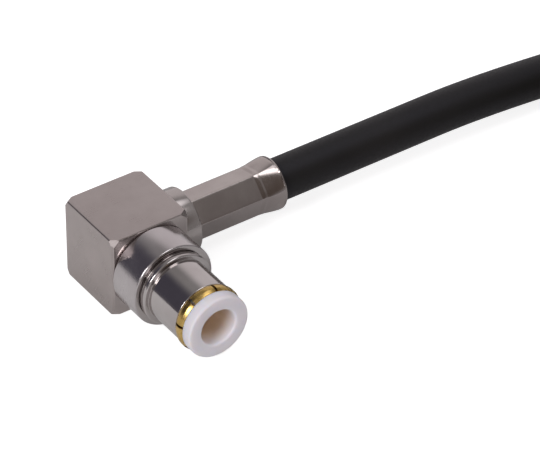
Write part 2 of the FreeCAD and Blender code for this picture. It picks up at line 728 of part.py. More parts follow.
def coil_layer(name, number, first, last):
    """One layer of the coil, between two angles past the coil's start."""
    layer = doc.addObject("Part::Cylinder", name)
    layer.setExpression("Radius", "Sizes.coil_radius + Sizes.cable_radius")
    layer.setExpression("Height", cell("coil_pitch"))
    layer.Placement.Rotation = FreeCAD.Rotation(FreeCAD.Vector(0, 0, 1), QUARTER - last)
    layer.setExpression("Placement.Base.x", cell("coil_start"))
    layer.setExpression("Placement.Base.y", "-Sizes.coil_radius")
    layer.setExpression("Placement.Base.z", "%d * Sizes.coil_pitch" % number)
    layer.Angle = last - first
    return layer


climb = size("coil_climb")
coil_layers = doc.addObject("Part::MultiFuse", "coil_layers")
coil_layers.Shapes = [
    coil_layer("coil_low", 0, 0, climb),
    coil_layer("coil_middle", 1, 0, TURN),
    coil_layer("coil_high", 2, climb, size("coil_end") - TURN),
]
coil_hole = doc.addObject("Part::Cylinder", "coil_hole")
coil_hole.setExpression("Radius", "Sizes.coil_radius - Sizes.cable_radius")
coil_hole.setExpression("Height", "3 * Sizes.coil_pitch")
coil_hole.setExpression("Placement.Base.x", cell("coil_start"))
coil_hole.setExpression("Placement.Base.y", "-Sizes.coil_radius")
coil = doc.addObject("Part::Cut", "cable_coil")
coil.Base = coil_layers
coil.Tool = coil_hole
doc.recompute()
coil_length = math.radians(size("coil_end")) * size("coil_radius")
print("cable coil %.1f mm long, middle diameter %.1f cable diameters"
      % (coil_length, size("coil_radius") / size("cable_radius")))
print("free cable %.1f mm in all" % (lead_path.Length + coil_length))
PIECES.append(coil)

# Check every object, then write one file for each piece

doc.recompute()
for item in doc.Objects:
    states = [str(state) for state in item.State]
    if "Invalid" in states or "Error" in states:
        raise RuntimeError("%s: %s" % (item.Label, states))
os.makedirs("parts", exist_ok=True)
for piece in PIECES:
    shape = piece.Shape
    if shape.isNull() or not shape.isValid() or len(shape.Solids) != 1:
        raise RuntimeError("bad shape: %s, %d solids" % (piece.Label, len(shape.Solids)))
    shape.exportStep("parts/%s.step" % piece.Label)
    print("%-20s %9.2f mm3" % (piece.Label, shape.Volume))
print("%d pieces" % len(PIECES))
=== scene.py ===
# %% [markdown]
# # A right-angle coaxial plug and its cable
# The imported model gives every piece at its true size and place. This lesson
# dresses it: it keeps each place, and makes the surfaces that a lathe, a mill
# and a crimping tool leave. All lengths are metres, in the model's own frame:
# the cable leaves along +X, the nose points along -Y and +Z is up.

# %% Load the frame
import math

import bmesh
import bpy
from mathutils import Matrix, Vector


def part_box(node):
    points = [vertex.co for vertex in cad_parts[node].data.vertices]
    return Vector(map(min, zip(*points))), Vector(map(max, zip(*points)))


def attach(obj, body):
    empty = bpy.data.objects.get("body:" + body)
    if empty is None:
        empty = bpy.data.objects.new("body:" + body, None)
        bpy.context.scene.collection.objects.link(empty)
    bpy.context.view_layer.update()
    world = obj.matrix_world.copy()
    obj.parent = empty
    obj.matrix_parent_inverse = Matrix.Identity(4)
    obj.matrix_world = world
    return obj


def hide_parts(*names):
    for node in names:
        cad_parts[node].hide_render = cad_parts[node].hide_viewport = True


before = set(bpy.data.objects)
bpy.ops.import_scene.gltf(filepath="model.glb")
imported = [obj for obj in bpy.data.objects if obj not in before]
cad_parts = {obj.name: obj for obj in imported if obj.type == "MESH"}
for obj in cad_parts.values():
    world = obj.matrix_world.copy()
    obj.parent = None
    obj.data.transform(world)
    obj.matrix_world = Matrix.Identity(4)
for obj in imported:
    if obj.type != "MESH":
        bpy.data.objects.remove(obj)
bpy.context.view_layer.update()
MM = 0.001

# %% [markdown]
# ## Where the two axes cross
# Every turned piece lies on the nose's axis or on the cable's. Both pass
# through one point in the middle of the block, so one height serves them all.
# It is read from the block's own box, not written again.

# %% Read the main sizes from the model
block_low, block_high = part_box("body_block")
AXIS_HEIGHT = (block_low.z + block_high.z) / 2
ferrule_low, ferrule_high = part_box("crimp_ferrule")
FERRULE_START = ferrule_low.x / MM
FERRULE_END = ferrule_high.x / MM
CABLE_RADIUS = 2.7 * MM
print("axis height %.2f mm, ferrule ends at %.2f mm" % (AXIS_HEIGHT / MM, FERRULE_END))

# %% [markdown]
# ## The camera
# A long lens from a few hundred millimetres away keeps the block's edges
# nearly parallel. The place and the tilt were found by matching the block's
# corners and the rims of the turned pieces.

# %% Make the camera
CAMERA_PLACE = Vector((-175.72, -276.16, 260.95)) * MM
CAMERA_AZIMUTH = math.radians(-35.418)
CAMERA_ELEVATION = math.radians(37.701)
CAMERA_ROLL = math.radians(0.530)
CAMERA_LENS = 234.8

camera_data = bpy.data.cameras.new("camera")
camera_data.lens = CAMERA_LENS
camera_data.sensor_width = 36.0
camera_data.clip_start = 0.01
camera_data.clip_end = 20.0
camera = bpy.data.objects.new("camera", camera_data)
bpy.context.scene.collection.objects.link(camera)
back = Vector((
    math.sin(CAMERA_AZIMUTH) * math.cos(CAMERA_ELEVATION),
    -math.cos(CAMERA_AZIMUTH) * math.cos(CAMERA_ELEVATION),
    math.sin(CAMERA_ELEVATION),
))
level = Vector((math.cos(CAMERA_AZIMUTH), math.sin(CAMERA_AZIMUTH), 0.0))
upright = back.cross(level)
right = level * math.cos(CAMERA_ROLL) + upright * math.sin(CAMERA_ROLL)
up = upright * math.cos(CAMERA_ROLL) - level * math.sin(CAMERA_ROLL)
turn = Matrix((right, up, back)).transposed()
camera.matrix_world = Matrix.Translation(CAMERA_PLACE) @ turn.to_4x4()
bpy.context.scene.camera = camera
print("camera %.0f mm from the block" % ((CAMERA_PLACE - Vector((0, 0, AXIS_HEIGHT))).length / MM))

# %% [markdown]
# ## Tools for materials
# A material here is a small graph of nodes. Writing each link in full would
# hide the idea, so one helper adds a node, sets its inputs and links any input
# whose value is another node's output. A name in lower case is a setting of
# the node, I0 or I1 is an input by its number, and the rest are inputs by name.

# %% A helper that adds a shader node
def add(tree, kind, **inputs):
    """A new node. An input is a plain value, or another node's output to link."""
    node = tree.nodes.new("ShaderNode" + kind)
    for name, value in inputs.items():
        if hasattr(node, name) and not name[0].isupper():
            setattr(node, name, value)
            continue
        by_number = name[0] == "I" and name[1:].isdigit()
        socket = node.inputs[int(name[1:]) if by_number else name.replace("_", " ")]
        if isinstance(value, bpy.types.NodeSocket):
            tree.links.new(value, socket)
        else:
            socket.default_value = value
    return node


def new_material(name):
    """An empty material, its tree and its principled shader."""
    material = bpy.data.materials.new(name)
    material.use_nodes = True
    tree = material.node_tree
    tree.nodes.clear()
    shader = tree.nodes.new("ShaderNodeBsdfPrincipled")
    output = tree.nodes.new("ShaderNodeOutputMaterial")
    tree.links.new(shader.outputs["BSDF"], output.inputs["Surface"])
    return material, tree, shader


def ramp(tree, factor, *stops):
    """A colour ramp between (position, colour) stops."""
    node = add(tree, "ValToRGB", Fac=factor)
    elements = node.color_ramp.elements
    while len(elements) < len(stops):
        elements.new(0.5)
    for element, (position, colour) in zip(elements, stops):
        element.position = position
        element.color = (*colour, 1.0)
    return node.outputs["Color"]


def add_bump(tree, shader, height, strength, distance):
    """Raise the shader's surface by a height that a node gives."""
    bump = add(tree, "Bump", Height=height, Strength=strength, Distance=distance)
    tree.links.new(bump.outputs["Normal"], shader.inputs["Normal"])


# %% [markdown]
# ## The cable's route
# The cable leaves the ferrule level, sinks to the table and runs into a coil that holds the rest
# of its half metre. It is one smooth spline: a few listed points, then the coil's turns from a
# loop. Each turn lies on the last, and climbs onto it in a long low hump, just before it passes
# over the stretch where the cable comes in.

# %% Choose the route
ROUTE = [
    (FERRULE_END, 0.0, 5.5),
    (37.0, 0.0, 5.5),
    (53.0, 0.0, 5.5),
    (79.0, 0.0, 2.7),
    (95.0, 0.0, 2.7),
]
COIL_RADIUS = 27.5
COIL_PITCH = 5.5
COIL_END = 887.3
CLIMB_FROM = 262
CLIMB_TO = 322
COIL_POINTS = 74


def layer_height(angle):
    """How many layers up the cable lies, at an angle past the coil's start."""
    turns, rest = divmod(angle, 360)
    share = min(max((rest - CLIMB_FROM) / (CLIMB_TO - CLIMB_FROM), 0.0), 1.0)
    return turns + share * share * (3.0 - 2.0 * share)


route = [Vector(point) * MM for point in ROUTE]
for number in range(1, COIL_POINTS + 1):
    angle = COIL_END * number / COIL_POINTS
    turned = math.radians(angle)
    route.append(Vector((
        ROUTE[-1][0] + COIL_RADIUS * math.sin(turned),
        ROUTE[-1][1] - COIL_RADIUS * (1.0 - math.cos(turned)),
        ROUTE[-1][2] + COIL_PITCH * layer_height(angle),
    )) * MM)

# %% Lay the cable along it
cable_curve = bpy.data.curves.new("cable", "CURVE")
cable_curve.dimensions = "3D"
cable_curve.bevel_depth = CABLE_RADIUS
cable_curve.bevel_resolution = 14
cable_curve.resolution_u = 10
cable_curve.use_fill_caps = True
spline = cable_curve.splines.new("NURBS")
spline.points.add(len(route) - 1)
for point, place in zip(spline.points, route):
    point.co = (*place, 1.0)
spline.order_u = 3
spline.use_endpoint_u = True
cable = bpy.data.objects.new("cable", cable_curve)
bpy.context.scene.collection.objects.link(cable)
cable_length = spline.calc_length()
print("cable %.0f mm long" % (cable_length / MM))

# %% [markdown]
# ## Turned pieces
# Most of this plug comes off a lathe, so its pieces are half sections swept
# round an axis. A section is a list of corners: radius, station along the
# axis and, where the tool left the edge soft, a rounding. Real edges are never
# quite sharp, and it is their thin highlights that make metal look machined.

# %% Round the corners of a section
def soft_section(corners, steps=5):
    """Points through (radius, station, rounding) corners, in millimetres."""
    points = []
    for index, (radius, station, rounding) in enumerate(corners):
        here = Vector((radius, station))
        if not rounding:
            points.append(here)
            continue
        to_last = (Vector(corners[index - 1][:2]) - here).normalized()
        to_next = (Vector(corners[(index + 1) % len(corners)][:2]) - here).normalized()
        half = to_last.angle(to_next) / 2
        middle = here + (to_last + to_next).normalized() * rounding / math.sin(half)
        start = here + to_last * rounding / math.tan(half) - middle
        stop = here + to_next * rounding / math.tan(half) - middle
        for step in range(steps + 1):
            spoke = start.lerp(stop, step / steps).normalized() * rounding
            points.append(middle + spoke)
    return points


# %% Lay a point of a turned piece on one of the axes
def on_axis(way, radius, station, angle):
    """A point of a turned piece, from millimetres to the model's metres."""
    across, high = radius * math.cos(angle), radius * math.sin(angle)
    if way == "nose":
        place = Vector((across, -station, high))
    elif way == "back":
        place = Vector((across, station, high))
    else:
        place = Vector((station, -across, high))
    return place * MM + Vector((0, 0, AXIS_HEIGHT))


# %% Make a mesh object with outward faces and smooth shading
SHARP_ABOVE = math.radians(32)


def finish_mesh(name, mesh_tools):
    """An object from a bmesh, its doubles merged and its faces outwards."""
    bmesh.ops.remove_doubles(mesh_tools, verts=mesh_tools.verts, dist=1e-7)
    bmesh.ops.recalc_face_normals(mesh_tools, faces=mesh_tools.faces)
    mesh = bpy.data.meshes.new(name)
    mesh_tools.to_mesh(mesh)
    mesh_tools.free()
    mesh.shade_smooth()
    mesh.set_sharp_from_angle(angle=SHARP_ABOVE)
    item = bpy.data.objects.new(name, mesh)
    bpy.context.scene.collection.objects.link(item)
    return item


def join_rings(tools, ring, following):
    """A band of four-sided faces between two rings of as many points."""
    for k in range(len(ring)):
        after = (k + 1) % len(ring)
        tools.faces.new((ring[k], ring[after], following[after], following[k]))


def lathe(name, way, corners, segments=160):
    """A turned piece from the closed half section through the corners."""
    section = soft_section(corners)
    tools = bmesh.new()
    rings = []
    for point in section:
        rings.append([tools.verts.new(on_axis(way, point.x, point.y, math.tau * k / segments))
                      for k in range(segments)])
    for index, ring in enumerate(rings):
        following = rings[(index + 1) % len(rings)]
        if section[index].x < 1e-6 and section[(index + 1) % len(rings)].x < 1e-6:
            continue
        join_rings(tools, ring, following)
    item = finish_mesh(name, tools)
    print("%s: %d faces" % (name, len(item.data.polygons)))
    return item


# %% [markdown]
# ## The block
# The block is milled from square bar, and its edges are only broken. Its back
# and front were faced on a lathe, which also took off the corners with cones
# about the nose's axis. Bores take the nose, the cap and the cable's stem. It
# is drawn as a plan, raised, bevelled, and then cut with boolean cutters. One
# fault is left: the finished mesh has a disc across the chamber just behind
# the cap, where it should be open, and a few open edges on the chamber's wall.
# All of that is out of sight.

# %% Draw and raise the block
BLOCK_BACK = block_high.y / MM
BLOCK_SIDE = block_high.x / MM
UPRIGHT_BREAK = 0.3
EDGE_SOFTNESS = 0.24
RIM_STEPS = 3

plan = soft_section([
    (-BLOCK_SIDE, -BLOCK_BACK, UPRIGHT_BREAK),
    (BLOCK_SIDE, -BLOCK_BACK, UPRIGHT_BREAK),
    (BLOCK_SIDE, BLOCK_BACK, UPRIGHT_BREAK),
    (-BLOCK_SIDE, BLOCK_BACK, UPRIGHT_BREAK),
])
tools = bmesh.new()
base_face = tools.faces.new(
    [tools.verts.new(Vector((point.x, point.y, 0)) * MM) for point in plan])
raised = bmesh.ops.extrude_face_region(tools, geom=[base_face])
lifted = [part for part in raised["geom"] if isinstance(part, bmesh.types.BMVert)]
bmesh.ops.translate(tools, verts=lifted, vec=(0, 0, block_high.z))
rims = [edge for edge in tools.edges
        if abs(edge.verts[0].co.z - edge.verts[1].co.z) < 1e-7]
bmesh.ops.bevel(tools, geom=rims, offset=EDGE_SOFTNESS * MM, segments=RIM_STEPS,
                profile=0.6, affect="EDGES", clamp_overlap=True)
block = finish_mesh("block", tools)
print("block", [round(value / MM, 2) for value in block.dimensions])

# %% Turn off its corners and bore it
def bored(item, cutters):
    """The item with every cutter taken out of it, as one plain mesh."""
    for cutter in cutters:
        boolean = item.modifiers.new("bore", "BOOLEAN")
        boolean.operation = "DIFFERENCE"
        boolean.solver = "EXACT"
        boolean.object = cutter
    graph = bpy.context.evaluated_depsgraph_get()
    mesh = bpy.data.meshes.new_from_object(item.evaluated_get(graph))
    item.modifiers.clear()
    item.data = mesh
    for cutter in cutters:
        bpy.data.objects.remove(cutter)
    mesh.shade_smooth()
    mesh.set_sharp_from_angle(angle=SHARP_ABOVE)
    return item


def round_cutter(name, way, radius, first, last):
    """A plain round bar to cut a bore with."""
    return lathe(name, way, [
        (0, first, 0), (radius, first, 0), (radius, last, 0), (0, last, 0)], 96)


CORNER_TURNING = 6.9
CORNER_CUT = 0.9
BLOCK_FACE = 5.15
PAST_BLOCK = 7.0
CHAMBER = 3.3
NOSE_SEAT = 4.1
NOSE_SEAT_END = 2.95
CAP_SEAT = 4.1
CAP_SEAT_END = 3.95
CABLE_WAY = 1.505
STEM_SEAT = 2.9
STEM_SEAT_END = 3.8


def corner_cutter(name, way):
    """A ring whose inside is the cone that takes off the corners of one face."""
    outside = CORNER_TURNING + CORNER_CUT
    return lathe(name, way, [
        (CORNER_TURNING, BLOCK_BACK, 0), (outside, BLOCK_BACK - CORNER_CUT, 0),
        (outside, BLOCK_BACK + CORNER_CUT, 0), (CORNER_TURNING, BLOCK_BACK + CORNER_CUT, 0)], 192)


bored(block, [
    corner_cutter("cut_back_corners", "back"),
    corner_cutter("cut_front_corners", "nose"),
    round_cutter("cut_chamber", "nose", CHAMBER, -PAST_BLOCK, PAST_BLOCK),
    round_cutter("cut_nose_seat", "nose", NOSE_SEAT, NOSE_SEAT_END, PAST_BLOCK),
    round_cutter("cut_cap_seat", "back", CAP_SEAT, CAP_SEAT_END, PAST_BLOCK),
    round_cutter("cut_cable_way", "cable", CABLE_WAY, 0.0, PAST_BLOCK),
    round_cutter("cut_stem_seat", "cable", STEM_SEAT, STEM_SEAT_END, PAST_BLOCK),
])
print("block has %d faces" % len(block.data.polygons))

# %% [markdown]
# ## The nose
# The nose is one long turning: the part pressed into the block, the large
# shoulder, a fine groove, a stepped ring, and the plain barrel that enters the
# jack. A step in its bore stops the spring sleeve.

# %% Turn the nose
NOSE_BORE = 3.3
SLEEVE_OUTSIDE = 3.72
BARREL = 4.1
SHOULDER = BLOCK_SIDE + 0.12
SHOULDER_END = 9.85
GROOVE = 4.5
GROOVE_END = 10.13
RING = 4.72
RING_END = 10.85
BARREL_END = 16.35
SLEEVE_START = 11.6
nose = lathe("nose", "nose", [
    (NOSE_BORE, NOSE_SEAT_END, 0), (BARREL, NOSE_SEAT_END, 0.1), (BARREL, BLOCK_FACE, 0),
    (SHOULDER, BLOCK_FACE, 0.34), (SHOULDER, SHOULDER_END, 0.18),
    (GROOVE, SHOULDER_END, 0.04), (GROOVE, GROOVE_END, 0.04),
    (RING, GROOVE_END, 0.05), (RING, RING_END, 0.2), (BARREL, RING_END, 0.05),
    (BARREL, BARREL_END, 0.1), (SLEEVE_OUTSIDE, BARREL_END, 0),
    (SLEEVE_OUTSIDE, SLEEVE_START, 0), (NOSE_BORE, SLEEVE_START, 0),
])

# %% [markdown]
# ## The spring sleeve
# A thin bronze tube is sawn into eight fingers, each with a bead near its end,
# and gilded. Eight alike round an axis is work for Geometry Nodes: one finger
# is built as a closed mesh, and a small tree puts a turned copy at each step.
# The ring that they spring from, deep in the nose, is turned by itself.

# %% Build one finger
FINGERS = 8
SAW_CUT = 0.34
FINGER_TURN = math.radians(34.5)
FINGER_ROOT = 13.35
FINGER_ARCS = 16
FINGER_STEP = 16.36
BEAD = 4.28
BEAD_START = 16.78
BEAD_END = 17.3
FINGER_TIP = 4.08
HEAD_BACK = 17.75
TIP_PLAY = 0.01
finger_section = soft_section([
    (NOSE_BORE, FINGER_ROOT, 0), (SLEEVE_OUTSIDE, FINGER_ROOT, 0),
    (SLEEVE_OUTSIDE, FINGER_STEP, 0), (BARREL, FINGER_STEP, 0.03),
    (BEAD, BEAD_START, 0.5), (BEAD, BEAD_END, 0.4), (FINGER_TIP, HEAD_BACK - TIP_PLAY, 0.06),
    (NOSE_BORE, HEAD_BACK - TIP_PLAY, 0),
])
tools = bmesh.new()
slices = []
for step in range(FINGER_ARCS + 1):
    share = 2.0 * step / FINGER_ARCS - 1.0
    ring = []
    for point in finger_section:
        half_angle = math.pi / FINGERS - math.asin(SAW_CUT / 2 / point.x)
        angle = share * half_angle
        ring.append(tools.verts.new(Vector((
            point.x * math.cos(angle), point.x * math.sin(angle), point.y)) * MM))
    slices.append(ring)
for ring, following in zip(slices, slices[1:]):
    join_rings(tools, ring, following)
tools.faces.new(slices[0])
tools.faces.new(list(reversed(slices[-1])))
finger = finish_mesh("finger", tools)
print("one finger has %d faces" % len(finger.data.polygons))

# %% Put eight of them round the nose
def finger_tree(material):
    """A tree that turns copies of one finger about the upright axis."""
    tree = bpy.data.node_groups.new("fingers_around", "GeometryNodeTree")
    face = tree.interface
    face.new_socket("Geometry", in_out="INPUT", socket_type="NodeSocketGeometry")
    face.new_socket("Finger", in_out="INPUT", socket_type="NodeSocketObject")
    face.new_socket("Count", in_out="INPUT", socket_type="NodeSocketInt")
    face.new_socket("First Turn", in_out="INPUT", socket_type="NodeSocketFloat")
    face.new_socket("Geometry", in_out="OUTPUT", socket_type="NodeSocketGeometry")
    nodes, links = tree.nodes, tree.links
    start = nodes.new("NodeGroupInput")
    end = nodes.new("NodeGroupOutput")
    points = nodes.new("GeometryNodePoints")
    index = nodes.new("GeometryNodeInputIndex")
    step = nodes.new("ShaderNodeMath")
    step.operation = "DIVIDE"
    angle = nodes.new("ShaderNodeMath")
    angle.operation = "MULTIPLY_ADD"
    angle.inputs[1].default_value = math.tau
    turn_by = nodes.new("ShaderNodeCombineXYZ")
    info = nodes.new("GeometryNodeObjectInfo")
    copies = nodes.new("GeometryNodeInstanceOnPoints")
    real = nodes.new("GeometryNodeRealizeInstances")
    paint = nodes.new("GeometryNodeSetMaterial")
    paint.inputs["Material"].default_value = material
    links.new(start.outputs["Count"], points.inputs["Count"])
    links.new(index.outputs[0], step.inputs[0])
    links.new(start.outputs["Count"], step.inputs[1])
    links.new(step.outputs[0], angle.inputs[0])
    links.new(start.outputs["First Turn"], angle.inputs[2])
    links.new(angle.outputs[0], turn_by.inputs["Z"])
    links.new(start.outputs["Finger"], info.inputs["Object"])
    links.new(points.outputs[0], copies.inputs["Points"])
    links.new(info.outputs["Geometry"], copies.inputs["Instance"])
    links.new(turn_by.outputs[0], copies.inputs["Rotation"])
    links.new(copies.outputs[0], real.inputs[0])
    links.new(real.outputs[0], paint.inputs[0])
    links.new(paint.outputs[0], end.inputs[0])
    return tree


def run_tree(name, tree, **values):
    """A plain mesh object from a tree, with its named inputs set."""
    item = bpy.data.objects.new(name, bpy.data.meshes.new(name))
    bpy.context.scene.collection.objects.link(item)
    modifier = item.modifiers.new("tree", "NODES")
    modifier.node_group = tree
    for socket in tree.interface.items_tree:
        if socket.in_out == "INPUT" and socket.name in values:
            modifier[socket.identifier] = values[socket.name]
    graph = bpy.context.evaluated_depsgraph_get()
    item.data = bpy.data.meshes.new_from_object(item.evaluated_get(graph))
    item.modifiers.clear()
    return item


gold = bpy.data.materials.new("gold_plate")
sleeve = run_tree("spring_fingers", finger_tree(gold), **{
    "Finger": finger, "Count": FINGERS, "First Turn": FINGER_TURN + math.pi / FINGERS})
stand_on_nose = Matrix.Translation((0, 0, AXIS_HEIGHT)) @ Matrix.Rotation(math.pi / 2, 4, "X")
sleeve.data.transform(stand_on_nose)
sleeve.data.set_sharp_from_angle(angle=SHARP_ABOVE)
bpy.data.objects.remove(finger)
sleeve_root = lathe("spring_root", "nose", [
    (NOSE_BORE, SLEEVE_START, 0), (SLEEVE_OUTSIDE, SLEEVE_START, 0),
    (SLEEVE_OUTSIDE, FINGER_ROOT, 0), (NOSE_BORE, FINGER_ROOT, 0),
])
print("spring sleeve", [round(value / MM, 2) for value in sleeve.dimensions])

# %% [markdown]
# ## The white insulator
# A turned bar of white fluoroplastic. Its shank fills the nose, and its head
# covers the ends of the fingers. The head's radius and front are read from the
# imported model. The bore takes the sleeve round the jack's pin, and its edge
# and the head's are softly rounded.

# %% Turn the insulator
insulator_low, insulator_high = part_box("front_insulator")
HEAD = (insulator_high.x - insulator_low.x) / 2 / MM
FRONT = -insulator_low.y / MM
SHANK_START = 10.9
CONTACT_HOLE = 1.07
PIN_BORE = 2.32
PIN_BORE_BOTTOM = 15.3
insulator = lathe("insulator", "nose", [
    (CONTACT_HOLE, SHANK_START, 0), (NOSE_BORE, SHANK_START, 0), (NOSE_BORE, HEAD_BACK, 0),
    (HEAD, HEAD_BACK, 0.08), (HEAD, FRONT, 0.26), (PIN_BORE, FRONT, 0.28),
    (PIN_BORE, PIN_BORE_BOTTOM, 0.12), (CONTACT_HOLE, PIN_BORE_BOTTOM, 0),
])
print("head %.2f mm in radius, front at %.2f mm" % (HEAD, FRONT))

# %% [markdown]
# ## The crimp stem and its collar
# The stem is pressed into the side of the block. Its round collar shows beside
# the block, and its thin barbed tube goes under the cable's braid.

# %% Turn the stem
COLLAR = 4.15
COLLAR_START = 5.3
COLLAR_END = 8.1
STEM_TUBE = 1.865
STEM_END = 17.4
BARBS = 4
BARB_PITCH = 1.86
BARB_LENGTH = 0.7
BARB_HEIGHT = 0.08
stem_corners = [
    (CABLE_WAY, STEM_SEAT_END, 0), (STEM_SEAT, STEM_SEAT_END, 0.1),
    (STEM_SEAT, COLLAR_START, 0), (COLLAR, COLLAR_START, 0.1), (COLLAR, COLLAR_END, 0.26),
    (STEM_TUBE, COLLAR_END, 0.05),
]
for barb in range(BARBS):
    top = COLLAR_END + BARB_PITCH * (barb + 1)
    stem_corners += [(STEM_TUBE, top - BARB_LENGTH, 0), (STEM_TUBE + BARB_HEIGHT, top, 0),
                     (STEM_TUBE, top, 0)]
stem_corners += [(STEM_TUBE, STEM_END, 0.05), (CABLE_WAY, STEM_END, 0.05)]
stem = lathe("stem", "cable", stem_corners)

# %% [markdown]
# ## The back cap
# A thin disc, pressed into the back of the block once the conductor has been
# soldered. A dimple in its middle is where the press bore on it.

# %% Turn the cap
DIMPLE = 0.45
DIMPLE_BOTTOM = 4.7
cap = lathe("cap", "back", [
    (0, CAP_SEAT_END, 0), (CAP_SEAT, CAP_SEAT_END, 0), (CAP_SEAT, BLOCK_FACE, 0.14),
    (DIMPLE, BLOCK_FACE, 0.04), (0, DIMPLE_BOTTOM, 0),
], 128)

# %% [markdown]
# ## The crimp ferrule
# The ferrule was a round tube that opens out at its mouth. A hexagonal die
# pressed it, so its section is a hexagon whose corners are the old tube. The
# die's end left a small step in each flat, with a narrow land behind it, and
# from there the flats ramp up and run out into the mouth. So the outside is
# worked out point by point: at each angle, the smaller of the hexagon's reach
# and the tube's radius, blended a little where they meet. The outside rings
# lie close together only where the form changes.

# %% Work out the ferrule's outside
FLATS = 5.41
CRIMP_TURN = math.radians(-17.3)
CRIMP_END = 17.5
STEP_LENGTH = 0.45
LAND_LENGTH = 0.35
RAMP_RISE = 0.24
CORNER = 3.1
MOUTH_START = 17.2
MOUTH_FULL = 20.3
MOUTH_RADIUS = 3.42
FLAT_SOFTNESS = 0.1
MOUTH_SOFTNESS = 0.34


def softly_smaller(one, other, softness):
    """The smaller of two lengths, with the change from one to the other rounded."""
    share = max(softness - abs(one - other), 0.0) / softness
    return min(one, other) - share * share * softness / 4


def ferrule_outside(station, angle):
    """The ferrule's outside radius at a station and an angle about the cable."""
    past = station - CRIMP_END
    climbed = min(max(past, 0.0), STEP_LENGTH) + max(past - STEP_LENGTH - LAND_LENGTH, 0.0)
    rise = climbed * RAMP_RISE
    step = math.pi / 3
    from_flat = (angle - CRIMP_TURN + step / 2) % step - step / 2
    hexagon = (FLATS / 2 + rise) / math.cos(from_flat)
    opening = min(max((station - MOUTH_START) / (MOUTH_FULL - MOUTH_START), 0.0), 1.0)
    tube = CORNER + (MOUTH_RADIUS - CORNER) * opening
    softness = FLAT_SOFTNESS + (MOUTH_SOFTNESS - FLAT_SOFTNESS) * min(opening * 4.0, 1.0)
    return softly_smaller(hexagon, tube, softness)


# %% Build the ferrule ring by ring
SEGMENTS = 288
COARSE_STEP = 0.25
FINE_STEP = 0.06
LIP_ROUNDING = 0.32
FRONT_EDGE = 0.06
MOUTH_INSIDE = 2.94
OVER_JACKET = 2.72
OVER_BRAID = 2.4
JACKET_START = 18.4
THROAT = 18.75
stations = [FERRULE_START + 0.04 + COARSE_STEP * k for k in range(36)]
stations += [CRIMP_END - 0.3 + FINE_STEP * k for k in range(60)]
outside_rings = [(station, None) for station in stations if station < FERRULE_END - 0.34]
lip = soft_section([
    (MOUTH_RADIUS, MOUTH_FULL, 0), (MOUTH_RADIUS, FERRULE_END, LIP_ROUNDING),
    (MOUTH_INSIDE, FERRULE_END, 0.1), (OVER_JACKET, THROAT, 0), (OVER_JACKET, JACKET_START, 0),
    (OVER_BRAID, STEM_END, 0), (OVER_BRAID, FERRULE_START, 0), (CORNER - 0.1, FERRULE_START, 0.0),
], steps=7)
inner_rings = [(point.y, point.x) for point in lip[1:-1]]
tools = bmesh.new()
rings = []
for station, radius in [(FERRULE_START, -1.0)] + outside_rings + inner_rings:
    ring = []
    for k in range(SEGMENTS):
        angle = math.tau * k / SEGMENTS
        reach = radius
        if radius is None:
            reach = ferrule_outside(station, angle)
        elif radius < 0:
            reach = ferrule_outside(station, angle) - FRONT_EDGE
        ring.append(tools.verts.new(on_axis("cable", reach, station, angle)))
    rings.append(ring)
for ring, following in zip(rings, rings[1:] + rings[:1]):
    join_rings(tools, ring, following)
ferrule = finish_mesh("ferrule", tools)
print("ferrule", [round(value / MM, 2) for value in ferrule.dimensions])

# %% [markdown]
# ## Plated metal
# The block and the turned parts are brass under a thin bright plate. The plate copies what lies
# below it: milled faces stay satin, with fine parallel lines, and turned faces are nearly mirrors
# with fine rings. So both get the same recipe, a metal with lines in its bump and slow patches in
# its gloss and tint, and differ in how the lines run and how rough they are. The shoulder is
# rougher than the barrel in front of it, because in the photograph the barrel mirrors the room
# sharply and the shoulder only softly. Its plate is also painted a little lighter and bluer than
# the barrel's, though both are one turning: painted light that brightens the shoulder.

# %% A recipe for plated metal
def around_axis(tree, coordinates, axis):
    """A coordinate that grows along an axis and away from it, so turned faces get rings."""
    lowered = add(tree, "VectorMath", operation="SUBTRACT", I0=coordinates)
    lowered.inputs[1].default_value = (0, 0, AXIS_HEIGHT)
    parts = add(tree, "SeparateXYZ", Vector=lowered.outputs[0])
    along, beside = ("X", "Y") if axis == "cable" else ("Y", "X")
    flat = add(tree, "CombineXYZ", X=parts.outputs[beside], Y=parts.outputs["Z"])
    radius = add(tree, "VectorMath", operation="LENGTH", I0=flat.outputs[0])
    both = add(tree, "Math", operation="ADD", I0=parts.outputs[along], I1=radius.outputs["Value"])
    return both.outputs[0]


def nose_rings(tree, coordinates):
    """Rings round the nose's axis."""
    return around_axis(tree, coordinates, "nose")


def cable_rings(tree, coordinates):
    """Rings round the cable's axis."""
    return around_axis(tree, coordinates, "cable")


def along_edge(tree, coordinates):
    """A coordinate across a milled face, so that it gets straight lines."""
    parts = add(tree, "SeparateXYZ", Vector=coordinates)
    tilt = add(tree, "Math", operation="MULTIPLY_ADD", I0=parts.outputs["Z"], I1=0.7,
               I2=parts.outputs["Y"])
    return tilt.outputs[0]


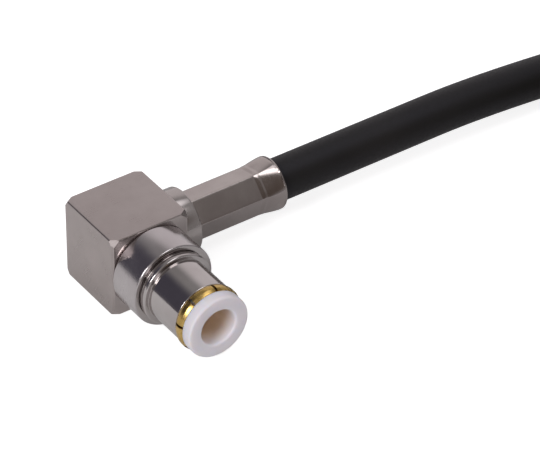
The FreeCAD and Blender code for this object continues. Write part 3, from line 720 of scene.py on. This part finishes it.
def plated(name, dark, light, gloss, matt, lines, line_scale, line_depth, patch_scale=220.0):
    """Plated metal between two tints, rough between gloss and matt, with fine lines."""
    material, tree, shader = new_material(name)
    coordinates = add(tree, "TexCoord").outputs["Object"]
    across = lines(tree, coordinates)
    patches = add(tree, "TexNoise", Vector=coordinates, Scale=patch_scale, Detail=3.0,
                  Roughness=0.55)
    fine = add(tree, "TexNoise", noise_dimensions="1D", W=across, Scale=line_scale, Detail=4.0,
               Roughness=0.7)
    specks = add(tree, "TexNoise", Vector=coordinates, Scale=patch_scale * 22, Detail=2.0)
    tint = ramp(tree, patches.outputs["Fac"], (0.35, dark), (0.65, light))
    tree.links.new(tint, shader.inputs["Base Color"])
    mixed = add(tree, "Math", operation="MULTIPLY_ADD", I0=fine.outputs["Fac"], I1=0.5,
                I2=patches.outputs["Fac"])
    rough = add(tree, "MapRange", Value=mixed.outputs[0], From_Min=0.55, From_Max=0.95,
                To_Min=gloss, To_Max=matt)
    tree.links.new(rough.outputs["Result"], shader.inputs["Roughness"])
    shader.inputs["Metallic"].default_value = 1.0
    height = add(tree, "Math", operation="MULTIPLY_ADD", I0=specks.outputs["Fac"], I1=0.35,
                 I2=fine.outputs["Fac"])
    add_bump(tree, shader, height.outputs[0], 1.0, line_depth)
    return material


# %% Make the plated finishes
FINE_LINES = 5200.0
block_plate = plated("block_plate", (0.37, 0.325, 0.315), (0.43, 0.38, 0.37), 0.26, 0.4,
                     along_edge, FINE_LINES, 0.0000016)
turned_plate = plated("turned_plate", (0.40, 0.355, 0.345), (0.46, 0.41, 0.40), 0.08, 0.16,
                      nose_rings, FINE_LINES, 0.0000005)
nose_plate = plated("nose_plate", (0.44, 0.405, 0.40), (0.49, 0.455, 0.45), 0.07, 0.16,
                    nose_rings, FINE_LINES, 0.0000004)
# Painted light: a little lighter and bluer than the nose's plate on the same turning.
shoulder_plate = plated("shoulder_plate", (0.45, 0.415, 0.42), (0.50, 0.465, 0.47), 0.19, 0.28,
                        nose_rings, FINE_LINES, 0.0000006)
stem_plate = plated("stem_plate", (0.38, 0.345, 0.335), (0.44, 0.40, 0.39), 0.1, 0.2,
                    cable_rings, FINE_LINES, 0.0000006)
ferrule_plate = plated("ferrule_plate", (0.365, 0.32, 0.31), (0.42, 0.375, 0.36), 0.11, 0.2,
                       cable_rings, 3600.0, 0.000001)
print("plated finishes made")

# %% [markdown]
# ## Gold
# The fingers are gilded spring bronze. Gold gets its colour from its
# reflections alone, so only the tint and a soft gloss are needed, with small
# rubbed patches where the fingers slide in the jack.

# %% Make the gold
gilded = plated("gilding", (0.44, 0.29, 0.085), (0.60, 0.41, 0.145), 0.17, 0.34,
                nose_rings, 4000.0, 0.000001, patch_scale=900.0)
gold.user_remap(gilded)
bpy.data.materials.remove(gold)
gilded.name = "gold_plate"

# %% [markdown]
# ## White fluoroplastic
# The insulator is a waxy white plastic that lets light in a little way, which softens its shading.
# Turning leaves it faint rings. Deep in the bore the wall is painted tan: painted shade, tinted
# golden as if lit by the gilded metal behind it. The painted shade fades in from the bore's mouth
# to its depth, and only on the bore's own wall.

# %% Make the white plastic
WALL_FROM, WALL_FULL = 0.00255, 0.00232
# Painted shade in the bore: tan from here to full depth, standing in for shade and the gold's
# light.
BORE_SHADE_FROM, BORE_SHADE_FULL = -0.0193, -0.0162
white_plastic, tree, shader = new_material("white_plastic")
coordinates = add(tree, "TexCoord").outputs["Object"]
clouds = add(tree, "TexNoise", Vector=coordinates, Scale=260.0, Detail=3.0)
tint = ramp(tree, clouds.outputs["Fac"], (0.3, (0.725, 0.69, 0.745)), (0.7, (0.765, 0.74, 0.79)))
inside = add(tree, "VectorMath", operation="SUBTRACT", I0=coordinates)
inside.inputs[1].default_value = (0, 0, AXIS_HEIGHT)
parts = add(tree, "SeparateXYZ", Vector=inside.outputs[0])
across = add(tree, "CombineXYZ", X=parts.outputs["X"], Y=parts.outputs["Z"])
radius = add(tree, "VectorMath", operation="LENGTH", I0=across.outputs[0])
in_bore = add(tree, "MapRange", Value=radius.outputs["Value"], From_Min=WALL_FROM,
              From_Max=WALL_FULL)
deep = add(tree, "MapRange", interpolation_type="SMOOTHSTEP", Value=parts.outputs["Y"],
           From_Min=BORE_SHADE_FROM, From_Max=BORE_SHADE_FULL)
# Painted shade: how far the bore's wall is tinted tan, by radius and by depth.
painted_bore_shade = add(tree, "Math", operation="MULTIPLY", I0=in_bore.outputs["Result"],
           I1=deep.outputs["Result"])
tint = add(tree, "Mix", data_type="RGBA", I0=painted_bore_shade.outputs[0], I6=tint, I7=(0.80, 0.63, 0.47, 1.0))
tree.links.new(tint.outputs[2], shader.inputs["Base Color"])
rings = add(tree, "TexNoise", noise_dimensions="1D", W=nose_rings(tree, coordinates),
            Scale=4200.0, Detail=3.0)
add_bump(tree, shader, rings.outputs["Fac"], 0.6, 0.000002)
shader.inputs["Roughness"].default_value = 0.38
shader.inputs["Subsurface Weight"].default_value = 0.8
shader.inputs["Subsurface Radius"].default_value = (1.0, 0.8, 0.6)
shader.inputs["Subsurface Scale"].default_value = 0.0012
print("white plastic made")

# %% [markdown]
# ## The cable's jacket
# Matt black plastic, drawn through a die, so it has faint lines along it and a dull sheen that
# only shows where the light grazes it. The sheen is tinted bluish, a painted reflection of a cool
# room.

# %% Make the jacket
jacket, tree, shader = new_material("black_jacket")
coordinates = add(tree, "TexCoord").outputs["Object"]
grain = add(tree, "TexNoise", Vector=coordinates, Scale=2600.0, Detail=4.0, Roughness=0.6)
slow = add(tree, "TexNoise", Vector=coordinates, Scale=90.0, Detail=2.0)
tint = ramp(tree, slow.outputs["Fac"], (0.3, (0.0085, 0.0075, 0.006)),
            (0.7, (0.0125, 0.011, 0.009)))
tree.links.new(tint, shader.inputs["Base Color"])
rough = add(tree, "MapRange", Value=grain.outputs["Fac"], From_Min=0.3, From_Max=0.7,
            To_Min=0.4, To_Max=0.56)
tree.links.new(rough.outputs["Result"], shader.inputs["Roughness"])
add_bump(tree, shader, grain.outputs["Fac"], 0.5, 0.000012)
shader.inputs["Specular IOR Level"].default_value = 0.26
# Painted reflection: a bluish tint on the sheen, as if it mirrored a cool room.
shader.inputs["Specular Tint"].default_value = (0.8, 0.8, 1.0, 1.0)
print("jacket made")

# %% [markdown]
# ## Inside the cable
# Only a sliver of braid shows between the collar and the ferrule, and the cut
# end shows all the layers. Each still gets its own finish: woven tinned wire,
# milky insulation, silvered wire and dull solder.

# %% Make the inner finishes
def simple(name, dark, light, scale, roughness, metallic, depth):
    """A finish with mottled colour and a fine grain."""
    material, tree, shader = new_material(name)
    coordinates = add(tree, "TexCoord").outputs["Object"]
    grain = add(tree, "TexNoise", Vector=coordinates, Scale=scale, Detail=3.0)
    tint = ramp(tree, grain.outputs["Fac"], (0.35, dark), (0.65, light))
    tree.links.new(tint, shader.inputs["Base Color"])
    add_bump(tree, shader, grain.outputs["Fac"], 0.8, depth)
    shader.inputs["Roughness"].default_value = roughness
    shader.inputs["Metallic"].default_value = metallic
    return material


braid = simple("tinned_braid", (0.16, 0.16, 0.16), (0.62, 0.62, 0.62), 5200.0, 0.32, 1.0, 0.00004)
insulation = simple("cable_insulation", (0.66, 0.64, 0.58), (0.74, 0.72, 0.67), 900.0, 0.45, 0.0,
                    0.000004)
bare_wire = simple("bare_wire", (0.62, 0.5, 0.4), (0.75, 0.66, 0.56), 1800.0, 0.25, 1.0, 0.000002)
solder = simple("solder_tin", (0.42, 0.42, 0.42), (0.6, 0.6, 0.6), 2600.0, 0.38, 1.0, 0.00001)
print("inner finishes made")

# %% [markdown]
# ## The cut end
# The far end of the cable is a plain square cut. The black jacket is the
# curve's own cap, so three short turned pieces on it show the braid, the
# insulation and the conductor, each standing a little proud, as the blade
# leaves them.

# %% Show the layers at the cut end
end_angle = math.radians(COIL_END)
end_place = route[-1]
end_way = Vector((math.cos(end_angle), -math.sin(end_angle), 0.0))
WIRE_RADIUS = 0.45
INSULATION_RADIUS = 1.475
BRAID_RADIUS = 2.05
SUNK_IN = -0.6


def end_layer(name, inside, outside, proud):
    """A short ring on the cable's cut end, standing proud by that much."""
    item = lathe(name, "cable", [
        (inside, SUNK_IN, 0), (outside, SUNK_IN, 0), (outside, proud, 0.03),
        (inside, proud, 0)], 64)
    turned = end_way.to_track_quat("X", "Z").to_matrix().to_4x4()
    centred = Matrix.Translation((0, 0, -AXIS_HEIGHT))
    item.data.transform(Matrix.Translation(end_place) @ turned @ centred)
    return item


end_braid = end_layer("end_braid", INSULATION_RADIUS, BRAID_RADIUS, 0.06)
end_insulation = end_layer("end_insulation", WIRE_RADIUS, INSULATION_RADIUS, 0.12)
end_conductor = end_layer("end_conductor", 0.0, WIRE_RADIUS, 0.2)

# %% [markdown]
# ## Dress every piece
# Each new piece rides with the model's one body and gets its finish, and the nodes of the model
# that it stands for are hidden. Nodes that stay get their finish on their own objects. The faces
# of the block that a lathe left are brighter than its milled ones, so they carry a second finish.

# %% Dress the pieces
def dress(item, material, slot, *nodes):
    """Give a piece its finish and its body, and hide the nodes that it stands for."""
    if material.name not in item.data.materials:
        item.data.materials.clear()
        item.data.materials.append(material)
    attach(item, "root")
    if nodes:
        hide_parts(*nodes)


block.data.materials.clear()
block.data.materials.append(block_plate)
block.data.materials.append(turned_plate)
turned_faces = [face for face in block.data.polygons if abs(face.normal.y) > 0.9]
for face in turned_faces:
    face.material_index = 1
print("%d of the block's faces are turned" % len(turned_faces))
dress(block, block_plate, "block_plate", "body_block")
dress(cap, block_plate, "block_plate", "back_cap")
nose.data.materials.append(nose_plate)
nose.data.materials.append(shoulder_plate)
for face in nose.data.polygons:
    if face.center.y > -SHOULDER_END * MM:
        face.material_index = 1
dress(nose, nose_plate, "bright_plate", "nose_barrel")
dress(sleeve, gilded, "gold_plate", "spring_sleeve")
dress(sleeve_root, gilded, "gold_plate")
dress(insulator, white_plastic, "white_plastic", "front_insulator")
dress(stem, stem_plate, "bright_plate", "crimp_stem")
dress(ferrule, ferrule_plate, "bright_plate", "crimp_ferrule")
dress(cable, jacket, "black_jacket", "cable_lead", "cable_coil")
dress(end_braid, braid, "tinned_braid")
dress(end_insulation, insulation, "cable_insulation")
dress(end_conductor, bare_wire, "bare_wire")

NODE_FINISHES = {
    "centre_contact": gilded,
    "rear_insulator": white_plastic,
    "cap_insulator": white_plastic,
    "solder_joint": solder,
    "cable_conductor": bare_wire,
    "cable_dielectric": insulation,
    "cable_inner_braid": braid,
    "cable_outer_braid": braid,
    "cable_jacket_end": jacket,
}
for node, material in NODE_FINISHES.items():
    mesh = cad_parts[node].data
    mesh.materials.clear()
    mesh.materials.append(material)
print("%d nodes keep their own mesh" % len(NODE_FINISHES))

# %% [markdown]
# ## The floor
# A plain pale floor. The camera sees it near white, because part of what it sees is the floor's
# own glow. The rest is the light on it, so the plug's soft shadow stays. This isn't how a real
# floor behaves: the metal mirrors hardly any of that glow, and only on the lamp's side. There it
# is a painted reflection of light. Beside the ferrule, where none is mirrored, it leaves painted
# shade in the plug's undersides. It was set to match how dark the plug's undersides are in the
# photograph.

# %% Lay the floor
FLOOR_GLOW = 0.76
# A painted glow that only reflections see: some on the lamp's side, none on the right.
PAINTED_GLOW_LEFT = 0.2
PAINTED_GLOW_RIGHT = 0.0
GLOW_STARTS, GLOW_FULL = 0.009, -0.007
FLOOR_SIZE = 3.0
BELOW_PLUG = 0.00003
floor_mesh = bpy.data.meshes.new("floor")
half = FLOOR_SIZE / 2
floor_mesh.from_pydata(
    [(-half, -half, 0), (half, -half, 0), (half, half, 0), (-half, half, 0)], [], [(0, 1, 2, 3)])
floor = bpy.data.objects.new("floor", floor_mesh)
floor.location = (0, 0, -BELOW_PLUG)
bpy.context.scene.collection.objects.link(floor)

floor_material, tree, shader = new_material("floor")
shader.inputs["Base Color"].default_value = (0.64, 0.64, 0.64, 1)
shader.inputs["Roughness"].default_value = 0.9
shader.inputs["Specular IOR Level"].default_value = 0.0
path_kind = add(tree, "LightPath")
mirrored = add(tree, "Math", operation="ADD", I0=path_kind.outputs["Is Glossy Ray"],
               I1=path_kind.outputs["Is Transmission Ray"])
parts = add(tree, "SeparateXYZ", Vector=add(tree, "TexCoord").outputs["Object"])
# Painted reflection and painted shade: the mirrored glow fades from the left to nothing beside the
# ferrule.
painted_glow_share = add(tree, "MapRange", interpolation_type="SMOOTHSTEP", Value=parts.outputs["X"],
               From_Min=GLOW_STARTS, From_Max=GLOW_FULL, To_Min=PAINTED_GLOW_RIGHT,
               To_Max=PAINTED_GLOW_LEFT)
faint = add(tree, "Math", operation="MULTIPLY", I0=mirrored.outputs[0],
            I1=painted_glow_share.outputs["Result"])
glow = add(tree, "Math", operation="MULTIPLY_ADD", I0=path_kind.outputs["Is Camera Ray"],
           I1=FLOOR_GLOW, I2=faint.outputs[0])
shader.inputs["Emission Color"].default_value = (1, 1, 1, 1)
tree.links.new(glow.outputs[0], shader.inputs["Emission Strength"])
floor_mesh.materials.append(floor_material)
print("floor laid")

# %% [markdown]
# ## The room
# Polished metal is only as good as what it mirrors. The room is a quiet grey, lighter behind the
# plug on the right, where a white sheet hangs, and bright in a short strip overhead and in one
# small window low in front on the left. It is bluish dark behind on the left, and brown dark in
# front. Each is a soft lobe about a direction, between an inner and an outer angle in degrees,
# added to the grey or taken from it. They were set for this one camera.

# %% Paint the room
ROOM_COLOUR = (0.345, 0.335, 0.335)
LOBES = [
    ("sheet", (0.62, 0.72, 0.30), 18, 42, (0.49, 0.46, 0.47)),
    ("strip_front", (0.18, -0.36, 0.92), 9, 17, (3.0, 3.0, 3.05)),
    ("strip_back", (0.31, 0.09, 0.945), 6, 17, (1.3, 1.3, 1.35)),
    ("window", (-0.50, -0.77, 0.38), 5, 14, (1.7, 1.7, 1.75)),
    ("left_dark", (-0.62, 0.66, 0.42), 18, 42, (-0.25, -0.245, -0.22)),
    ("front_dark", (0.12, -0.84, 0.53), 6, 28, (-0.19, -0.205, -0.22)),
]
world = bpy.data.worlds.new("room")
bpy.context.scene.world = world
world.use_nodes = True
tree = world.node_tree
tree.nodes.clear()
direction = add(tree, "TexCoord").outputs["Generated"]
total = add(tree, "CombineXYZ", X=ROOM_COLOUR[0], Y=ROOM_COLOUR[1], Z=ROOM_COLOUR[2]).outputs[0]
for name, centre, inner, outer, colour in LOBES:
    facing = add(tree, "VectorMath", operation="DOT_PRODUCT", I0=direction)
    facing.inputs[1].default_value = Vector(centre).normalized()
    share = add(tree, "MapRange", interpolation_type="SMOOTHSTEP", Value=facing.outputs["Value"],
                From_Min=math.cos(math.radians(outer)), From_Max=math.cos(math.radians(inner)))
    tinted = add(tree, "VectorMath", operation="SCALE", I0=colour, Scale=share.outputs["Result"])
    tinted.label = name
    total = add(tree, "VectorMath", operation="ADD", I0=total, I1=tinted.outputs[0]).outputs[0]
sight = add(tree, "LightPath")
shown = add(tree, "Mix", data_type="VECTOR", I0=sight.outputs["Is Camera Ray"], I4=total,
            I5=(1.0, 1.0, 1.0))
sky = add(tree, "Background", Color=shown.outputs[1], Strength=1.0)
add(tree, "OutputWorld", Surface=sky.outputs[0])
print("%d lobes in the room" % len(LOBES))

# %% [markdown]
# ## The lamp
# One large soft lamp stands at the upper left, on the camera's side. It lights
# the white plastic and the gold, and throws the shadow to the right, where the
# metal mirrors it.

# %% Hang the lamp
def soft_lamp(name, direction, distance, size, power):
    """A square lamp that looks at the block from that direction."""
    data = bpy.data.lights.new(name, "AREA")
    data.shape = "SQUARE"
    data.size = size
    data.energy = power
    lamp = bpy.data.objects.new(name, data)
    way = Vector(direction).normalized()
    lamp.location = way * distance + Vector((0, 0, AXIS_HEIGHT))
    lamp.rotation_mode = "QUATERNION"
    lamp.rotation_quaternion = way.to_track_quat("Z", "Y")
    bpy.context.scene.collection.objects.link(lamp)
    return lamp


soft_lamp("key_lamp", (-0.81, -0.28, 0.52), distance=0.6, size=0.22, power=1.75)
bpy.context.scene.view_settings.view_transform = "Standard"
print("lamp hung")
